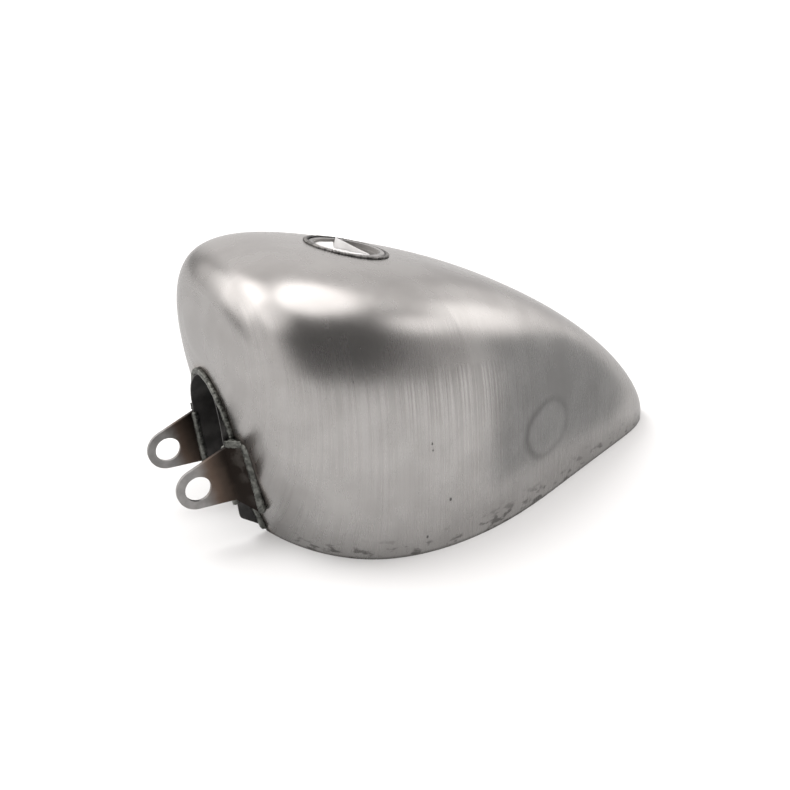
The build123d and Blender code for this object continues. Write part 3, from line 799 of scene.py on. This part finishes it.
def turned_steel():
    """The neck and bung: turned, with a light matt bore, a thin ring of painted shadow at the bore's top
    edge, and painted shade in the groove where the neck meets its bead, a mask that darkens all of the
    bung too.
    """
    f = Finish("turned_steel")
    fine = f.cloud(f.place, 0.0008, detail=4, seed=37)
    mottle = f.cloud(f.place, 0.01, detail=4, seed=41)
    shade = f.mix(f.ramp(mottle, 0.35, 0.65), grey(0.17, 0.02), grey(0.27, 0.02))
    from_axis = f.from_filler()
    bore = f.ramp(from_axis, (NECK_BORE + 0.5) * MM, (NECK_BORE + 0.2) * MM)
    shade = f.mix(bore, shade, grey(0.37, 0.03))
    # painted shadow of the neck's inner wall: a thin dark ring on the top face beside the bore
    inner = f.product(f.ramp(from_axis, (NECK_BORE + 1.3) * MM, (NECK_BORE + 0.9) * MM),
                      f.ramp(from_axis, (NECK_BORE + 0.1) * MM, (NECK_BORE + 0.3) * MM))
    shade = f.blot(inner, 0.8, shade, grey(0.05, 0.03))
    # painted shade of the groove where the neck meets its bead; far from the filler's axis, as on the
    # bung, the mask is 1 all over
    outer_painted_shade = f.ramp(from_axis, (NECK_R - 1.1) * MM, (NECK_R - 0.3) * MM)
    shade = f.blot(outer_painted_shade, 0.8, shade, grey(0.04, 0.03))
    rough = f.calc("MULTIPLY_ADD", fine, 0.25, 0.30)
    rough = f.calc("MULTIPLY_ADD", bore, 0.35, rough)
    return f.done(shade, rough, fine, 0.00004)


def ear_steel():
    """Flame-cut plate, grey in front of its hole, bronze behind it and nearly black at the bend, where
    the black is partly painted shade of the bend.
    """
    f = Finish("ear_steel")
    wander = f.calc("MULTIPLY_ADD", f.cloud(f.place, 0.014, detail=4, seed=43), 0.008, -0.004)
    back = f.calc("SUBTRACT", wander, f.x)
    back = f.calc("ADD", back, f.product(f.z, 0.25))
    mottle = f.cloud(f.place, 0.008, detail=5, seed=47)
    shade = f.mix(f.ramp(mottle, 0.3, 0.7), grey(0.20, 0.02), grey(0.28, 0.02))
    shade = f.mix(f.ramp(back, 0.000, 0.013), shade, (0.105, 0.076, 0.060, 1))
    shade = f.mix(f.ramp(back, 0.010, 0.021), shade, (0.050, 0.038, 0.031, 1))
    # near black along the bend: partly the plate's dark heat colour and partly painted shade of the bend
    shade = f.mix(f.ramp(back, 0.019, 0.027), shade, (0.016, 0.0125, 0.0105, 1))
    scale = f.ramp(f.cloud(f.place, 0.010, detail=5, seed=49), 0.48, 0.62)
    scale = f.product(scale, f.ramp(back, 0.028, 0.034))
    shade = f.blot(scale, 0.7, shade, (0.055, 0.050, 0.045, 1))
    fine = f.cloud(f.place, 0.0009, detail=4, seed=53)
    rough = f.calc("MULTIPLY_ADD", fine, 0.2, 0.32)
    return f.done(shade, rough, fine, 0.00005)


def weld_scale():
    """Weld beads, dark with scale; round the filler a lighter grey that is a painted highlight, with
    painted shade in the groove beside the neck.
    """
    f = Finish("weld_scale")
    mottle = f.cloud(f.place, 0.004, detail=6, seed=59)
    fine = f.cloud(f.place, 0.0006, detail=4, seed=61)
    shade = f.mix(f.ramp(mottle, 0.35, 0.65), (0.062, 0.064, 0.058, 1), (0.165, 0.168, 0.155, 1))
    # painted highlight: the beads round the filler get a lighter grey
    light = f.mix(f.ramp(mottle, 0.4, 0.6), grey(0.10, 0.03), grey(0.20, 0.03))
    shade = f.mix(f.at_filler(), shade, light)
    # painted shade in the groove between the neck and its bead
    bead_groove_shade = f.ramp(f.from_filler(), (NECK_R + 1.1) * MM, (NECK_R + 0.3) * MM)
    shade = f.blot(f.product(bead_groove_shade, f.at_filler()), 0.85, shade, grey(0.03))
    rough = f.calc("MULTIPLY_ADD", mottle, 0.3, 0.3)
    return f.done(shade, rough, fine, 0.0001)


def white_paper():
    """Soft matt paper, with painted shade where it lies flat and faces up the neck."""
    f = Finish("white_paper")
    fibre = f.cloud(f.place, 0.0005, detail=4, seed=67)
    mottle = f.cloud(f.place, 0.01, detail=3, seed=71)
    facing = f.add("NewGeometry").outputs["Normal"]
    flat = f.ramp(f.vector("DOT_PRODUCT", facing, tuple(FILLER_AXIS)), 0.90, 0.97)
    shade = f.mix(f.ramp(mottle, 0.3, 0.7), grey(0.59, 0.01), grey(0.66, 0.01))
    # painted shade: the paper facing up the neck is made greyer
    shade = f.blot(flat, 0.5, shade, grey(0.30, 0.01))
    rough = f.calc("MULTIPLY_ADD", fibre, 0.1, 0.8)
    f.feed(f.shader.inputs["Subsurface Weight"], 0.6)
    f.feed(f.shader.inputs["Subsurface Radius"], (1, 1, 1))
    f.feed(f.shader.inputs["Subsurface Scale"], 0.002)
    return f.done(shade, rough, fibre, 0.00005, metallic=0.0)


makers = (pressed_steel, plate_steel, turned_steel, ear_steel, weld_scale, white_paper)
finishes = {make.__name__: make() for make in makers}


def coat(piece, slot):
    """Gives the piece the finish of the slot, and no other."""
    piece.data.materials.clear()
    piece.data.materials.append(finishes[slot])


for subpart in frame["record"]["subparts"]:
    coat(frame["nodes"][subpart["node"]], subpart["material_slot"])
for piece in skins.values():
    coat(piece, "pressed_steel")
for piece in beads:
    coat(piece, "weld_scale")
coat(seal, "white_paper")


# ---- Stage, light and camera ------------------------------------------------------------------------
FLOOR_R = 30.0                  # metres
FLOOR_GAP = 0.0001
FLOOR_GREY = 0.45
FLOOR_TINT = (1.0, 0.985, 0.975, 1)
FLOOR_GLOW = 0.24


def matt_stage(name, colour, grain, glow, glow_colour):
    """A matt finish without gloss for the stage, which glows a little."""
    f = Finish(name)
    f.feed(f.shader.inputs["Specular IOR Level"], 0.0)
    f.feed(f.shader.inputs["Emission Color"], glow_colour)
    f.feed(f.shader.inputs["Emission Strength"], glow)
    return f.done(colour, 0.9, f.cloud(f.place, grain), 0.00001, metallic=0.0)


def make_floor():
    """A plain pale floor, just below the lower edge of the tank."""
    mesh = bmesh.new()
    bmesh.ops.create_circle(mesh, cap_ends=True, segments=96, radius=FLOOR_R)
    bmesh.ops.translate(mesh, verts=mesh.verts, vec=(0, 0, cad_box[0][2] - FLOOR_GAP))
    floor = placed("floor", mesh_data("floor", mesh))
    floor.data.materials.append(matt_stage("pale_floor", grey(FLOOR_GREY), 0.002, FLOOR_GLOW, FLOOR_TINT))


def direction(azimuth, elevation):
    """The unit vector towards an azimuth and elevation in degrees."""
    a, e = math.radians(azimuth), math.radians(elevation)
    return (math.cos(a) * math.cos(e), math.sin(a) * math.cos(e), math.sin(e))


# each is an azimuth, elevation, inner and outer radius in degrees, and a strength
SOFTBOXES = [(-40, 35, 18, 34, 1.7), (165, 76, 18, 28, 2.9), (-45, 60, 8, 20, 1.5), (18, 60, 16, 32, 1.2),
             (156, 32, 5, 10, 2.2), (180, 25, 6, 16, 1.8), (202, 18, 8, 18, 0.5), (-57, 15, 9, 20, 1.1),
             (-105, 25, 16, 34, 0.3)]
ROOM = 1.17                     # brightness of the room between them
ROOM_TINT = (1.012, 0.984, 0.972, 1)
SHADES = [(100, 38, 22, 66, 0.86), (-54, -5, 24, 48, 0.8)]


def make_light():
    """A white studio with large soft boxes and a dark side behind the camera."""
    world = bpy.data.worlds.new("studio")
    world.use_nodes = True
    n = Nodes(world.node_tree)
    ray = n.add("TexCoord").outputs["Generated"]

    def spot(azimuth, elevation, inner, outer):
        across = n.vector("DOT_PRODUCT", ray, direction(azimuth, elevation))
        return n.ramp(across, math.cos(math.radians(outer)), math.cos(math.radians(inner)))

    total = ROOM
    for azimuth, elevation, inner, outer, amount in SHADES:
        shade = n.calc("MULTIPLY", spot(azimuth, elevation, inner, outer), amount)
        total = n.calc("MULTIPLY", total, n.calc("SUBTRACT", 1.0, shade))
    for azimuth, elevation, inner, outer, amount in SOFTBOXES:
        total = n.calc("ADD", total, n.calc("MULTIPLY", spot(azimuth, elevation, inner, outer), amount))
    # the camera itself sees a plain pale backdrop above the floor
    seen = n.add("LightPath").outputs["Is Camera Ray"]
    total = n.calc("ADD", n.calc("MULTIPLY", total, n.calc("SUBTRACT", 1.0, seen)), seen)
    background = world.node_tree.nodes["Background"]
    n.feed(background.inputs["Color"], ROOM_TINT)
    n.feed(background.inputs["Strength"], total)
    bpy.context.scene.world = world


CAMERA_PLACE = (0.17588, 0.63633, 0.34389)
CAMERA_AIM = (-0.443794, -0.798613, -0.406526)
SENSOR = 36.0
LENS = 45.3


def make_camera():
    """A camera above the left front of the tank, level from side to side."""
    camera = placed("camera", bpy.data.cameras.new("camera"))
    camera.data.sensor_width = SENSOR
    camera.data.lens = LENS
    camera.location = CAMERA_PLACE
    camera.rotation_euler = Vector(CAMERA_AIM).to_track_quat("-Z", "Y").to_euler()
    bpy.context.scene.camera = camera


# corners of a dark card that only reflections see, in millimetres
CARD = [(-262, 155, -48), (-420, 60, -48), (-950, -120, 150), (-790, 290, 240)]
CARD_GLOW = 0.60


def make_card():
    """A dark card beside the tail, reflected in the rear flank."""
    data = bpy.data.meshes.new("dark_card")
    data.from_pydata([Vector(corner) * MM for corner in CARD], [], [(0, 1, 2), (0, 2, 3)])
    card = placed("dark_card", data)
    card.visible_camera = False
    card.visible_diffuse = False
    card.visible_shadow = False
    data.materials.append(matt_stage("dark_card", grey(0.0), 0.02, CARD_GLOW, grey(1.0)))


# azimuth, elevation, spread in degrees and power of the key light
KEY = (-40, 60, 26, 1.9)


def make_key():
    """A soft key light that throws the tank's shadow on the floor; reflections don't see it."""
    azimuth, elevation, spread, power = KEY
    light = bpy.data.lights.new("key", "SUN")
    light.angle = math.radians(spread)
    light.energy = power
    key = placed("key", light)
    key.rotation_euler = Vector(direction(azimuth, elevation)).to_track_quat("Z", "Y").to_euler()
    key.visible_glossy = False


make_floor()
make_card()
make_key()
make_light()
make_camera()
bpy.context.scene.view_settings.view_transform = "Standard"
